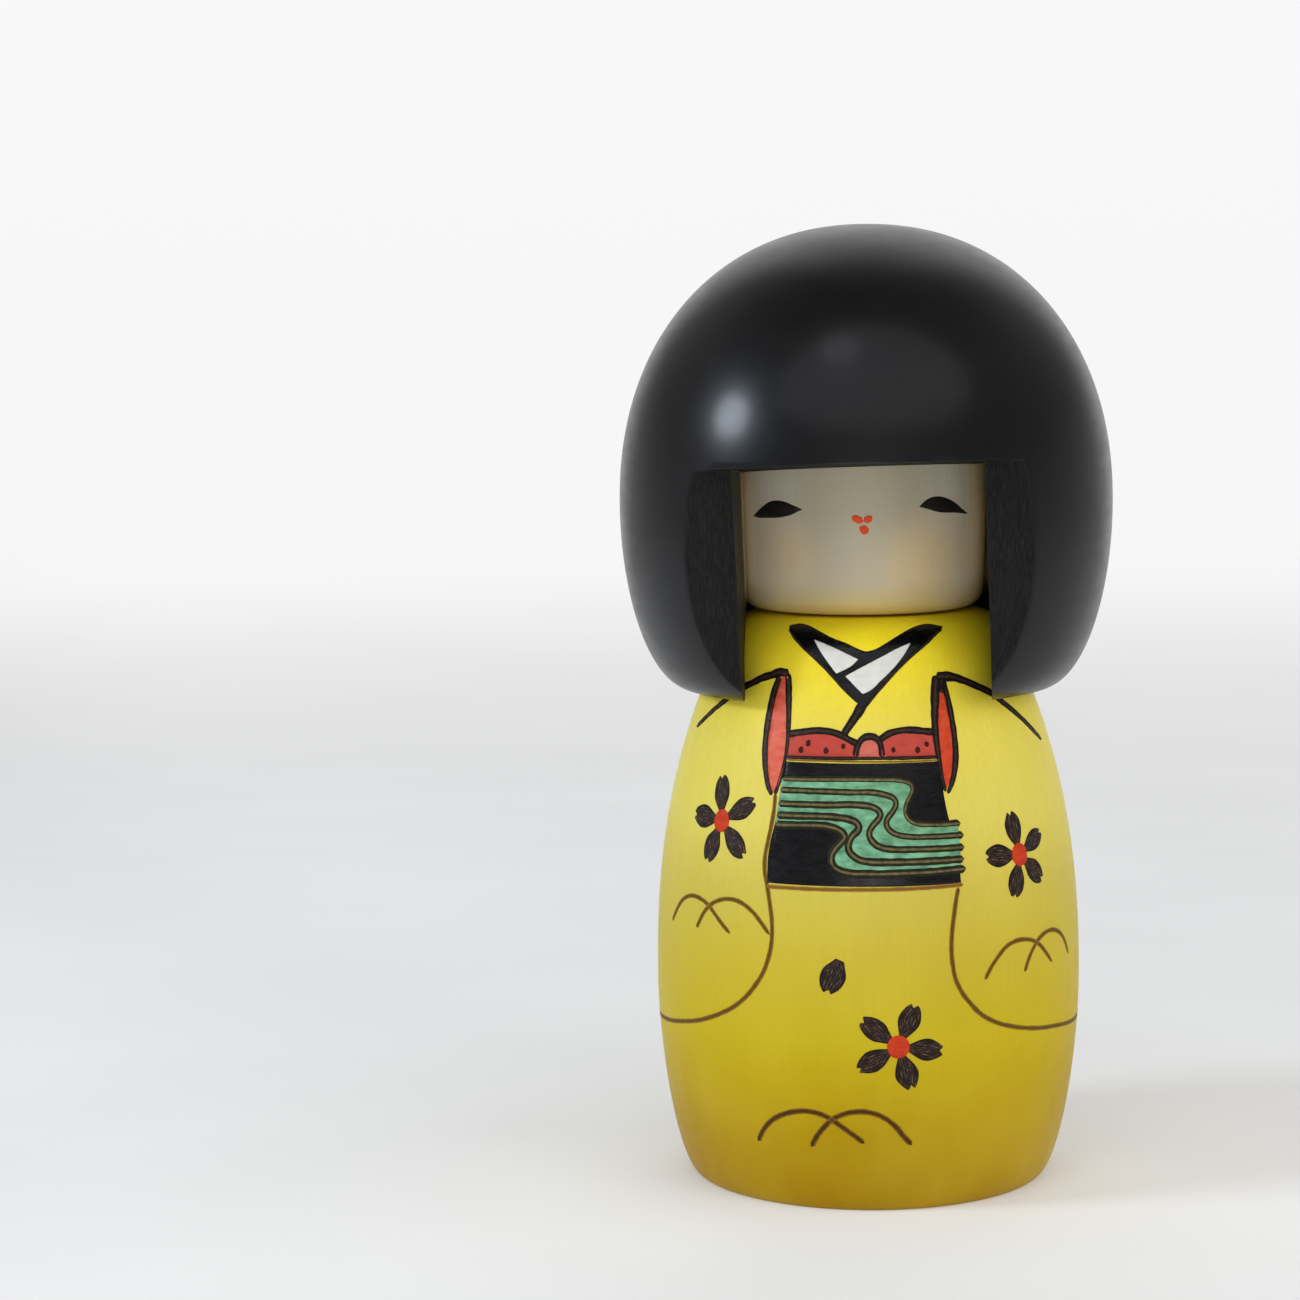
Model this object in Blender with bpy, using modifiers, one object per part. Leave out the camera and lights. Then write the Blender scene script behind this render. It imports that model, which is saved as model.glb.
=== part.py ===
"""Kokeshi doll: a turned wooden body with a head that swivels on a hidden neck dowel.

Metres, +Z up, the doll faces -Y, and its turning axis is the Z axis. The body stands on z = 0.
The head is two pieces: a turned face block, hung on a dowel inside a turned hair cap that is
bored from below and sawn open at the front, so that the face shows under the fringe.
"""
import math

import bmesh
import bpy
from mathutils import Euler, Matrix, Vector

MM = 0.001
DOLL = "kokeshi_doll"

# Driving dimensions, in millimetres.
HEIGHT = 150.0
TURN_STEPS = 48          # facets round every turned piece
GAP = 0.3                # left between pieces that touch

# Body: a barrel, widest below its middle, with a rounded shoulder under the head.
BASE_R = 27.4
BODY_R = 33.5
BODY_WIDEST_Z = 31.6
BASE_SHAPE = 1.68        # below 2, so the side meets the base in a soft edge
SHOULDER_Z = 81.0
SHOULDER_R = 24.5
TAPER_POWER = 2.34       # how late the side starts to close in above its widest
NECK_TOP_Z = 90.0
NECK_TOP_R = 15.5

# Hair cap: a rounded dome, closing in below to a thin rim just over the shoulder.
HAIR_R = 38.65
HAIR_WIDEST_Z = 106.6
HAIR_SHAPE = 2.16
RIM_Z = 77.7
RIM_R = 28.1
RIM_SHAPE = 1.95
BORE_R = 20.4
RIM_BORE_R = 26.7        # the mouth of the hollow, wider for the shoulder
SHOULDER_BORE_R = 25.7
SHOULDER_BORE_Z = 84.0
CONE_TOP_Z = 91.5

# Saw cuts that open the front of the hair cap.
FLAT_DEPTH = 29.2        # from the axis to the sawn flat, at the fringe
FRINGE_Z = 113.9         # height of the fringe at the sawn flat
FLAT_LEAN = 5.0          # degrees: the flat runs deeper towards its foot
FRINGE_RISE = 4.2        # degrees: the fringe's underside rises to the front
CUT_ROLL = 1.6           # degrees: the fringe rises to the doll's left
SLOT_HALF_WIDTH = 18.8
CUT_REACH = 50.0         # how far the cutters run out in front, clear of the hair
CUT_FOOT_Z = 60.0        # and how far down, clear of the rim

# Face block: a short barrel that hangs a little off the axis, inside the bore.
FACE_R = 19.5
FACE_END_R = 19.0
FACE_EDGE_R = 2.8
FACE_TOP_Z = 122.0
FACE_OFFSET = -0.6

# Dowels.
NECK_DOWEL_R = 5.0
NECK_DOWEL_FOOT_Z = 68.0
NECK_DOWEL_TOP_Z = 104.0
NECK_DOWEL_PLAY = 0.1    # round the part that turns in the face block
CROWN_DOWEL_R = 4.0
CROWN_DOWEL_FOOT_Z = 110.0
CROWN_DOWEL_TOP_Z = 134.0
DOWEL_CHAMFER = 0.6


def clear_scene():
    for obj in list(bpy.data.objects):
        bpy.data.objects.remove(obj, do_unlink=True)


def new_collection(name):
    collection = bpy.data.collections.new(name)
    bpy.context.scene.collection.children.link(collection)
    return collection


def material(name, color, roughness):
    mat = bpy.data.materials.new(name)
    mat.use_nodes = True
    shader = mat.node_tree.nodes["Principled BSDF"]
    shader.inputs["Base Color"].default_value = (*color, 1.0)
    shader.inputs["Roughness"].default_value = roughness
    shader.inputs["Metallic"].default_value = 0.0
    mat.diffuse_color = (*color, 1.0)
    return mat


def superellipse(centre, across, up, shape, start, end, steps):
    """Points (r, z) round part of a superellipse. Angles are in degrees, 0 at the outside."""
    points = []
    for step in range(steps + 1):
        angle = math.radians(start + (end - start) * step / steps)
        cosine = max(math.cos(angle), 0.0)
        sine = max(math.sin(angle), 0.0)
        r = centre[0] + across * cosine ** (2.0 / shape)
        z = centre[1] + up * sine ** (2.0 / shape)
        points.append((r, z))
    return points


def body_side(z):
    """Radius of the barrel between its widest ring and the shoulder."""
    share = (z - BODY_WIDEST_Z) / (SHOULDER_Z - BODY_WIDEST_Z)
    return BODY_R - (BODY_R - SHOULDER_R) * share ** TAPER_POWER


def body_profile():
    hole_r = NECK_DOWEL_R + GAP
    hole_foot = NECK_DOWEL_FOOT_Z - GAP
    hole = [(0.0, hole_foot), (hole_r, hole_foot), (hole_r, NECK_TOP_Z)]
    shoulder = superellipse(
        (NECK_TOP_R, SHOULDER_Z), SHOULDER_R - NECK_TOP_R, NECK_TOP_Z - SHOULDER_Z, 2.0, 90, 0, 6)
    side_steps = 9
    side = []
    for step in range(1, side_steps):
        z = SHOULDER_Z + (BODY_WIDEST_Z - SHOULDER_Z) * step / side_steps
        side.append((body_side(z), z))
    lower = superellipse(
        (BASE_R, BODY_WIDEST_Z), BODY_R - BASE_R, -BODY_WIDEST_Z, BASE_SHAPE, 0, 90, 9)
    return hole + shoulder + side + lower + [(0.0, 0.0)]


def hair_profile():
    dome = superellipse(
        (0.0, HAIR_WIDEST_Z), HAIR_R, HEIGHT - HAIR_WIDEST_Z, HAIR_SHAPE, 90, 0, 13)
    below = superellipse(
        (RIM_R, HAIR_WIDEST_Z), HAIR_R - RIM_R, RIM_Z - HAIR_WIDEST_Z, RIM_SHAPE, 0, 90, 9)
    bore_top = FACE_TOP_Z + GAP
    hole_r = CROWN_DOWEL_R + GAP
    hole_top = CROWN_DOWEL_TOP_Z + GAP
    hollow = [
        (RIM_BORE_R, RIM_Z),
        (SHOULDER_BORE_R, SHOULDER_BORE_Z),
        (BORE_R, CONE_TOP_Z),
        (BORE_R, bore_top),
        (hole_r, bore_top),
        (hole_r, hole_top),
        (0.0, hole_top),
    ]
    return dome + below[1:] + hollow


def face_profile():
    """The face block about its own axis, with a hole in each end for the dowels."""
    foot = NECK_TOP_Z + GAP
    edge = FACE_END_R - FACE_EDGE_R
    top_edge = superellipse(
        (edge, FACE_TOP_Z - FACE_EDGE_R), FACE_EDGE_R, FACE_EDGE_R, 2.0, 90, 0, 4)
    side_top = FACE_TOP_Z - FACE_EDGE_R
    side_foot = foot + FACE_EDGE_R
    side_steps = 6
    side = []
    for step in range(1, side_steps):
        share = step / side_steps
        bulge = (FACE_R - FACE_END_R) * math.sin(math.pi * share)
        side.append((FACE_END_R + bulge, side_top + (side_foot - side_top) * share))
    foot_edge = superellipse((edge, side_foot), FACE_EDGE_R, -FACE_EDGE_R, 2.0, 0, 90, 4)
    return [(0.0, FACE_TOP_Z)] + top_edge + side + foot_edge + [(0.0, foot)]


def dowel_profile(radius, foot, top):
    chamfer = radius - DOWEL_CHAMFER
    return [
        (0.0, top),
        (chamfer, top),
        (radius, top - DOWEL_CHAMFER),
        (radius, foot + DOWEL_CHAMFER),
        (chamfer, foot),
        (0.0, foot),
    ]


def mesh_from(obj):
    """The object's evaluated mesh, with shared vertices and faces that point outwards."""
    bpy.context.view_layer.update()
    evaluated = obj.evaluated_get(bpy.context.evaluated_depsgraph_get())
    mesh = bpy.data.meshes.new_from_object(evaluated)
    edit = bmesh.new()
    edit.from_mesh(mesh)
    bmesh.ops.remove_doubles(edit, verts=edit.verts, dist=0.00001)
    bmesh.ops.recalc_face_normals(edit, faces=edit.faces)
    edit.to_mesh(mesh)
    edit.free()
    return mesh


def turn(name, profile, origin, collection, mat):
    """A turned piece: the profile, in millimetres from the doll's foot, screwed round Z."""
    outline = bpy.data.meshes.new(name + "_profile")
    verts = [Vector((r, 0.0, z)) * MM - origin for r, z in profile]
    edges = [(index, index + 1) for index in range(len(verts) - 1)]
    outline.from_pydata(verts, edges, [])
    blank = bpy.data.objects.new(name + "_blank", outline)
    collection.objects.link(blank)
    screw = blank.modifiers.new("turn", "SCREW")
    screw.steps = TURN_STEPS
    screw.render_steps = TURN_STEPS
    screw.use_merge_vertices = True
    screw.merge_threshold = 0.00001
    mesh = mesh_from(blank)
    bpy.data.objects.remove(blank, do_unlink=True)
    mesh.name = name
    mesh.materials.clear()
    mesh.materials.append(mat)
    mesh.shade_smooth()
    mesh.set_sharp_from_angle(angle=math.radians(32))
    obj = bpy.data.objects.new(name, mesh)
    collection.objects.link(obj)
    return obj


def side_cutter(name, outline, half_width, collection):
    """A cutter from an outline of (y, z) points, with its width along X."""
    curve = bpy.data.curves.new(name + "_outline", "CURVE")
    curve.dimensions = "2D"
    curve.fill_mode = "BOTH"
    curve.extrude = half_width * MM
    spline = curve.splines.new("POLY")
    spline.points.add(len(outline) - 1)
    for point, (y, z) in zip(spline.points, outline):
        point.co = (y * MM, z * MM, 0.0, 1.0)
    spline.use_cyclic_u = True
    flat = bpy.data.objects.new(name + "_outline", curve)
    collection.objects.link(flat)
    mesh = mesh_from(flat)
    bpy.data.objects.remove(flat, do_unlink=True)
    outline_to_side = Matrix(((0, 0, 1), (1, 0, 0), (0, 1, 0))).to_4x4()
    mesh.transform(outline_to_side)
    cutter = bpy.data.objects.new(name, mesh)
    collection.objects.link(cutter)
    cutter.hide_render = True
    cutter.display_type = "WIRE"
    return cutter


def hole_cutter(name, radius, foot, top, collection):
    """A round cutter on the Z axis."""
    bpy.ops.mesh.primitive_cylinder_add(
        vertices=TURN_STEPS, radius=radius * MM, depth=(top - foot) * MM,
        location=(0.0, 0.0, 0.5 * (foot + top) * MM))
    cutter = bpy.context.object
    cutter.name = name
    for owner in list(cutter.users_collection):
        owner.objects.unlink(cutter)
    collection.objects.link(cutter)
    cutter.hide_render = True
    cutter.display_type = "WIRE"
    return cutter


def cut(obj, cutter):
    boolean = obj.modifiers.new(cutter.name, "BOOLEAN")
    boolean.operation = "DIFFERENCE"
    boolean.solver = "EXACT"
    boolean.object = cutter


def notch_cutters(collection):
    """Two cutters in the doll's side view: the sawn flat, and the slot on through to the bore."""
    rise = math.tan(math.radians(FRINGE_RISE))
    lean = math.tan(math.radians(FLAT_LEAN))
    fringe_front = (-CUT_REACH, rise * (CUT_REACH - FLAT_DEPTH))
    front_foot = (-CUT_REACH, CUT_FOOT_Z - FRINGE_Z)
    flat_foot = (lean * (FRINGE_Z - CUT_FOOT_Z) - FLAT_DEPTH, CUT_FOOT_Z - FRINGE_Z)
    flat_top = (-FLAT_DEPTH, 0.0)
    slot_top = (0.0, -rise * FLAT_DEPTH)
    slot_foot = (0.0, CUT_FOOT_Z - FRINGE_Z)
    flat = side_cutter(
        "flat_cutter", [fringe_front, front_foot, flat_foot, flat_top], 2.0 * HAIR_R, collection)
    slot = side_cutter(
        "slot_cutter", [fringe_front, front_foot, slot_foot, slot_top], SLOT_HALF_WIDTH, collection)
    for cutter in (flat, slot):
        cutter.location = (0.0, 0.0, FRINGE_Z * MM)
        cutter.rotation_euler = Euler((0.0, -math.radians(CUT_ROLL), 0.0))
    return flat, slot


def build_body(parts):
    stained = material("stained_body", (0.58, 0.46, 0.06), 0.42)
    pale = material("dowel_wood", (0.62, 0.46, 0.27), 0.6)
    foot = Vector((0.0, 0.0, 0.0))
    turn("body", body_profile(), foot, parts, stained)
    dowel = dowel_profile(NECK_DOWEL_R, NECK_DOWEL_FOOT_Z, NECK_DOWEL_TOP_Z)
    turn("neck_dowel", dowel, foot, parts, pale)


def build_head(parts, cutters):
    """The pieces that turn together, parented to an empty on the neck's axis."""
    painted = material("painted_face", (0.74, 0.66, 0.5), 0.5)
    black = material("black_hair", (0.012, 0.011, 0.013), 0.3)
    pale = material("crown_dowel_wood", (0.62, 0.46, 0.27), 0.6)
    pivot = Vector((0.0, 0.0, NECK_TOP_Z * MM))

    head_turn = bpy.data.objects.new("head_turn", None)
    head_turn.location = pivot
    parts.objects.link(head_turn)

    hair = turn("hair_cap", hair_profile(), pivot, parts, black)
    for cutter in notch_cutters(cutters):
        cut(hair, cutter)

    face = turn("face_block", face_profile(), pivot, parts, painted)
    face.location.x = FACE_OFFSET * MM
    lower_hole_r = NECK_DOWEL_R + NECK_DOWEL_PLAY
    cut(face, hole_cutter("neck_hole", lower_hole_r, NECK_TOP_Z - 5.0, NECK_DOWEL_TOP_Z + GAP, cutters))
    upper_hole_r = CROWN_DOWEL_R + GAP
    cut(face, hole_cutter("crown_hole", upper_hole_r, CROWN_DOWEL_FOOT_Z - GAP, FACE_TOP_Z + 5.0, cutters))

    crown = dowel_profile(CROWN_DOWEL_R, CROWN_DOWEL_FOOT_Z, CROWN_DOWEL_TOP_Z)
    turn("crown_dowel", crown, pivot, parts, pale)

    for name in ("hair_cap", "face_block", "crown_dowel"):
        bpy.data.objects[name].parent = head_turn


def main():
    clear_scene()
    parts = new_collection(DOLL)
    cutters = new_collection("cutters")
    build_body(parts)
    build_head(parts, cutters)


main()
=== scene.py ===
"""Looks of the kokeshi doll: turned wood, lacquered hair, and a burned and painted kimono.

Sizes are in millimetres in the frame of the CAD model: +Z up, the doll faces -Y, and its turning
axis is Z. The drawing on the kimono is laid out on the unrolled barrel as points (s, z): s runs
round it from the middle of the front towards +X, measured at the widest ring, and z is the height.
The drawing on the face is laid out in the same way on the unrolled face block.
"""
import math

import bmesh
import bpy
from mathutils import Euler, Matrix, Vector, noise


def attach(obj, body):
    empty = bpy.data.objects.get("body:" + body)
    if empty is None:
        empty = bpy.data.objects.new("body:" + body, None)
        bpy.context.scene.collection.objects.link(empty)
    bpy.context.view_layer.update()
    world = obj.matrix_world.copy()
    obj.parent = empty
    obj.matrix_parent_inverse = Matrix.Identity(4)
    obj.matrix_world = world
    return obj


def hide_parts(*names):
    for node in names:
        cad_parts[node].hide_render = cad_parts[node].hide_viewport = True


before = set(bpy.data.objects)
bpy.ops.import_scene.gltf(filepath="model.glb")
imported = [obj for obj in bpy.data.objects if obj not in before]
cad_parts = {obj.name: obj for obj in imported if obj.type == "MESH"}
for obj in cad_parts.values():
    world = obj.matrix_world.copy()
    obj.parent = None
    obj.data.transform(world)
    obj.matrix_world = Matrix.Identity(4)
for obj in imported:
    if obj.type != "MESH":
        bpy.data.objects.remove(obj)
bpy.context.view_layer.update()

MM = 0.001

# Turned shapes, as in the CAD model.
HEIGHT = 150.0
BASE_R = 27.4
BODY_R = 33.5
BODY_WIDEST_Z = 31.6
BASE_SHAPE = 1.68
SHOULDER_Z = 81.0
SHOULDER_R = 24.5
TAPER_POWER = 2.34
NECK_TOP_Z = 90.0
NECK_TOP_R = 15.5
HAIR_R = 38.65
HAIR_WIDEST_Z = 106.6
HAIR_SHAPE = 2.16
RIM_Z = 77.7
RIM_R = 28.1
RIM_SHAPE = 1.95
BORE_R = 20.4
RIM_BORE_R = 26.7
SHOULDER_BORE_R = 25.7
SHOULDER_BORE_Z = 84.0
CONE_TOP_Z = 91.5
FACE_R = 19.5
FACE_END_R = 19.0
FACE_EDGE_R = 2.8
FACE_FOOT_Z = 90.3
FACE_TOP_Z = 122.0
FACE_OFFSET = -0.6
FACE_HOLE_LIMIT = 8.0    # everything nearer to the axis than this is a dowel hole
NECK_DOWEL_R = 5.0
NECK_DOWEL_FOOT_Z = 68.0
NECK_DOWEL_TOP_Z = 104.0
NECK_DOWEL_PLAY = 0.1
CROWN_DOWEL_R = 4.0
CROWN_DOWEL_FOOT_Z = 110.0
CROWN_DOWEL_TOP_Z = 134.0
HOLE_GAP = 0.3

# Saw cuts that open the front of the hair.
FLAT_DEPTH = 29.2
FRINGE_Z = 113.9
FLAT_LEAN = 5.0
FRINGE_RISE = 4.2
CUT_ROLL = 1.6
SLOT_HALF_WIDTH = 18.8
CUT_REACH = 50.0
CUT_FOOT_Z = 60.0
SAWN_WELD = 0.15         # slivers shorter than this are closed
SAWN_EDGE = 0.16         # then the sawn edges are rubbed round this far
SAWN_CORNER = 35.0       # degrees; a flatter edge isn't rubbed

# Fineness of the meshes.
TURN_STEPS = 180
FILM_CELL = 1.0          # painted films are cut into cells of this size, to follow the barrel
COLLAR_CELL = 0.4        # and finer on the tight curve of the shoulder
FILM_LIFT = 0.05         # how far a film stands proud of the wood
UNDER_LIFT = FILM_LIFT - 0.02    # linings and band, which other films overlap
KNOT_LIFT = FILM_LIFT - 0.015
SPOT_LIFT = FILM_LIFT + 0.01
OVER_LIFT = FILM_LIFT + 0.03     # stream and hearts of the flowers, on top of other films
WHITE_LIFT = FILM_LIFT + 0.04
EYE_LIFT = 0.03
LINE_LIFT = 0.008        # each further line of one film lies this much higher
FILM_THICKNESS = 0.14
STROKE_STEP = 0.45
EYE_STEP = 0.3
ACROSS = (-1.0, -0.72, -0.36, 0.0, 0.36, 0.72, 1.0)    # points across a stroke, in half widths
PETAL_COLUMNS = 13
PETAL_ROWS = 16

# Camera, from the doll's axis.
CAMERA_DISTANCE = 535.25
CAMERA_HEIGHT = 142.38
CAMERA_AZIMUTH = 2.0
CAMERA_PAN = 3.6584
CAMERA_TILT = 6.2885
CAMERA_ROLL = -0.7102
LENS = 94.08

# Stage, in metres. The room's light is listed as (height, brightness), 0 at the horizon, 1 overhead.
BACK_HORIZON = 0.93
SIDE_HORIZON = 0.52
BACK_LIGHT = ((0.0, BACK_HORIZON), (0.4, 1.0), (0.65, 1.25), (0.85, 1.0), (0.96, 0.35), (1.0, 0.15))
SIDE_LIGHT = ((0.0, SIDE_HORIZON), (0.25, 0.3), (0.6, 0.4), (0.9, 0.2), (1.0, 0.15))
FLOOR_R = 12.0
FLOOR_GLOW = 0.12
# Lamps: azimuth (0 in front, + to the viewer's right), elevation, distance, size, radiance, colour.
LAMPS = {
    "window": (-67.0, 24.0, 1.2, (0.38, 0.28), 24.0, (0.82, 0.9, 1.0)),
    "overhead": (-16.0, 57.0, 1.3, (0.34, 0.3), 1.6, (0.97, 0.98, 1.0)),
    "front_fill": (8.0, 46.0, 1.5, (2.6, 1.25), 0.87, (0.98, 0.98, 1.0)),
    "low_front": (5.0, 1.5, 1.2, (0.8, 0.26), 3.5, (1.0, 0.99, 0.97)),
    "side_fill": (72.0, 24.0, 1.5, (2.0, 1.8), 1.15, (1.0, 0.98, 0.94)),
}
UNMIRRORED = "side_fill"    # its shape would show in the lacquer

# Drawing on the kimono, in (s, z).
OBI_TOP = 69.1
OBI_FOOT = 51.0
BAND_FOOT = 70.0
STREAM_END = 16.4
STREAM = (
    ((-13.8, 66.5), (-9.0, 66.6), (-5.3, 66.7), (-1.6, 66.75), (3.2, 66.7), (6.3, 66.6), (7.9, 66.3),
     (8.85, 65.8), (8.9, 65.1), (8.5, 64.3), (7.9, 63.4), (7.55, 62.5), (7.5, 61.7), (7.85, 61.0),
     (8.55, 60.4), (9.7, 60.05), (11.6, 59.9), (14.2, 59.8), (16.9, 59.85)),
    ((-13.9, 64.9), (-9.0, 64.95), (-1.6, 64.9), (3.2, 64.75), (4.7, 64.4), (5.75, 63.9), (6.05, 63.2),
     (5.8, 62.6), (5.3, 61.9), (4.75, 61.3), (4.35, 60.6), (4.4, 59.95), (4.85, 59.3), (5.65, 58.8),
     (6.6, 58.5), (7.9, 58.3), (11.6, 58.15), (17.3, 58.1)),
    ((-14.0, 62.85), (-9.0, 62.95), (-4.2, 63.0), (-1.6, 63.1), (0.5, 63.0), (2.1, 62.75), (3.0, 62.3),
     (3.4, 61.65), (3.1, 61.0), (2.5, 60.4), (1.95, 59.8), (1.6, 59.15), (1.6, 58.4), (2.05, 57.7),
     (2.75, 57.1), (3.8, 56.7), (5.3, 56.5), (8.9, 56.4), (14.2, 56.3), (17.2, 56.3)),
    ((-14.1, 61.15), (-9.0, 61.25), (-6.8, 61.3), (-3.7, 61.2), (-1.6, 60.9), (-0.5, 60.45),
     (-0.1, 59.8), (-0.4, 59.2), (-1.1, 58.6), (-1.6, 57.8), (-1.8, 57.05), (-1.6, 56.2), (-0.9, 55.5),
     (0.1, 54.95), (1.6, 54.7), (5.0, 54.6), (11.6, 54.55), (17.0, 54.55)),
    ((-14.2, 59.7), (-12.1, 59.75), (-8.2, 59.9), (-5.3, 59.85), (-3.75, 59.5), (-2.75, 58.95),
     (-2.4, 58.3), (-2.9, 57.6), (-3.7, 56.8), (-4.3, 55.9), (-4.5, 54.95), (-4.1, 54.0), (-3.0, 53.3),
     (-1.6, 53.0), (1.1, 52.9), (6.3, 52.9), (14.2, 53.0), (17.2, 53.1)),
)
# Each flower: its middle, then the direction (degrees), reach and width of every petal.
FLOWERS = {
    "left": ((-25.3, 59.4),
             ((103, 7.0, 3.7), (27, 7.7, 3.2), (-41, 7.5, 3.4), (-112, 7.0, 3.6), (178, 7.7, 3.5))),
    "right": ((28.2, 54.1),
              ((99, 6.7, 3.7), (24, 6.9, 3.0), (-41, 6.8, 3.4), (-108, 6.6, 3.5), (176, 7.2, 3.5))),
    "hem": ((5.8, 26.7),
            ((68, 6.9, 3.4), (143, 7.1, 3.3), (209, 7.2, 3.3), (-73, 7.0, 3.5), (-8, 7.0, 3.4))),
}
LOOSE_PETAL = ((-3.0, 39.95), ((-113.0, 5.5, 3.9),))
PETAL_START = 1.6
PETAL_WIDEST = 0.58      # share of the way to the tip
FLOWER_HEART_R = 1.75


# ---------------------------------------------------------------- turned shapes

def superellipse(centre, across, up, shape, start, end, steps):
    """Points (r, z) round part of a superellipse. Angles are in degrees, 0 at the outside."""
    points = []
    for step in range(steps + 1):
        angle = math.radians(start + (end - start) * step / steps)
        cosine = max(math.cos(angle), 0.0)
        sine = max(math.sin(angle), 0.0)
        r = centre[0] + across * cosine ** (2.0 / shape)
        points.append((r, centre[1] + up * sine ** (2.0 / shape)))
    return points


def side_points(radius, top, foot, steps):
    """Points (r, z) down the side of a turned shape, without its two ends."""
    heights = [top - (top - foot) / steps * step for step in range(1, steps)]
    return [(radius(z), z) for z in heights]


def body_radius(z):
    """Radius of the barrel at a height."""
    if z > SHOULDER_Z:
        share = min((z - SHOULDER_Z) / (NECK_TOP_Z - SHOULDER_Z), 1.0)
        return NECK_TOP_R + (SHOULDER_R - NECK_TOP_R) * math.sqrt(1.0 - share * share)
    if z > BODY_WIDEST_Z:
        share = (z - BODY_WIDEST_Z) / (SHOULDER_Z - BODY_WIDEST_Z)
        return BODY_R - (BODY_R - SHOULDER_R) * share ** TAPER_POWER
    share = min((BODY_WIDEST_Z - z) / BODY_WIDEST_Z, 1.0)
    return BASE_R + (BODY_R - BASE_R) * (1.0 - share ** BASE_SHAPE) ** (1.0 / BASE_SHAPE)


def face_radius(z):
    """Radius of the face block between its rounded edges."""
    low = FACE_FOOT_Z + FACE_EDGE_R
    high = FACE_TOP_Z - FACE_EDGE_R
    share = min(max((z - low) / (high - low), 0.0), 1.0)
    return FACE_END_R + (FACE_R - FACE_END_R) * math.sin(math.pi * share)


def body_profile():
    hole_r = NECK_DOWEL_R + HOLE_GAP
    hole_foot = NECK_DOWEL_FOOT_Z - HOLE_GAP
    hole = [(0.0, hole_foot), (hole_r, hole_foot), (hole_r, NECK_TOP_Z)]
    shoulder = superellipse(
        (NECK_TOP_R, SHOULDER_Z), SHOULDER_R - NECK_TOP_R, NECK_TOP_Z - SHOULDER_Z, 2.0, 90, 0, 24)
    side = side_points(body_radius, SHOULDER_Z, BODY_WIDEST_Z, 40)
    lower = superellipse(
        (BASE_R, BODY_WIDEST_Z), BODY_R - BASE_R, -BODY_WIDEST_Z, BASE_SHAPE, 0, 90, 40)
    return hole + shoulder + side + lower + [(0.0, 0.0)]


def hair_profile():
    dome = superellipse((0.0, HAIR_WIDEST_Z), HAIR_R, HEIGHT - HAIR_WIDEST_Z, HAIR_SHAPE, 90, 0, 56)
    below = superellipse(
        (RIM_R, HAIR_WIDEST_Z), HAIR_R - RIM_R, RIM_Z - HAIR_WIDEST_Z, RIM_SHAPE, 0, 90, 32)
    bore_top = FACE_TOP_Z + HOLE_GAP
    hole_r = CROWN_DOWEL_R + HOLE_GAP
    hole_top = CROWN_DOWEL_TOP_Z + HOLE_GAP
    hollow = [
        (RIM_BORE_R, RIM_Z), (SHOULDER_BORE_R, SHOULDER_BORE_Z), (BORE_R, CONE_TOP_Z),
        (BORE_R, bore_top), (hole_r, bore_top), (hole_r, hole_top), (0.0, hole_top)]
    return dome + below[1:] + hollow


def face_profile():
    edge = FACE_END_R - FACE_EDGE_R
    side_top = FACE_TOP_Z - FACE_EDGE_R
    side_foot = FACE_FOOT_Z + FACE_EDGE_R
    top_edge = superellipse((edge, side_top), FACE_EDGE_R, FACE_EDGE_R, 2.0, 90, 0, 12)
    side = side_points(face_radius, side_top, side_foot, 24)
    foot_edge = superellipse((edge, side_foot), FACE_EDGE_R, -FACE_EDGE_R, 2.0, 0, 90, 12)
    lower_r = NECK_DOWEL_R + NECK_DOWEL_PLAY
    lower_end = NECK_DOWEL_TOP_Z + HOLE_GAP
    lower = [(lower_r, FACE_FOOT_Z), (lower_r, lower_end), (0.0, lower_end)]
    upper_r = CROWN_DOWEL_R + HOLE_GAP
    upper_end = CROWN_DOWEL_FOOT_Z - HOLE_GAP
    upper = [(0.0, upper_end), (upper_r, upper_end), (upper_r, FACE_TOP_Z)]
    return upper + top_edge + side + foot_edge + lower


def link(obj):
    bpy.context.scene.collection.objects.link(obj)
    return obj


def finish_mesh(mesh, sharp_angle=32.0):
    mesh.shade_smooth()
    mesh.set_sharp_from_angle(angle=math.radians(sharp_angle))


def in_order(mesh):
    """The mesh with its points and faces sorted by place. The tools return them in no fixed order."""
    places = [tuple(round(share / MM, 5) for share in vert.co) for vert in mesh.vertices]
    order = sorted(range(len(places)), key=places.__getitem__)
    rank = {old: new for new, old in enumerate(order)}
    faces = []
    for polygon in mesh.polygons:
        loop = [rank[index] for index in polygon.vertices]
        first = loop.index(min(loop))
        faces.append((loop[first:] + loop[:first], polygon.material_index))
    faces.sort()
    ordered = bpy.data.meshes.new(mesh.name)
    ordered.from_pydata([mesh.vertices[index].co for index in order], [], [loop for loop, _ in faces])
    for mat in mesh.materials:
        ordered.materials.append(mat)
    ordered.polygons.foreach_set("material_index", [index for _, index in faces])
    return ordered


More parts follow.
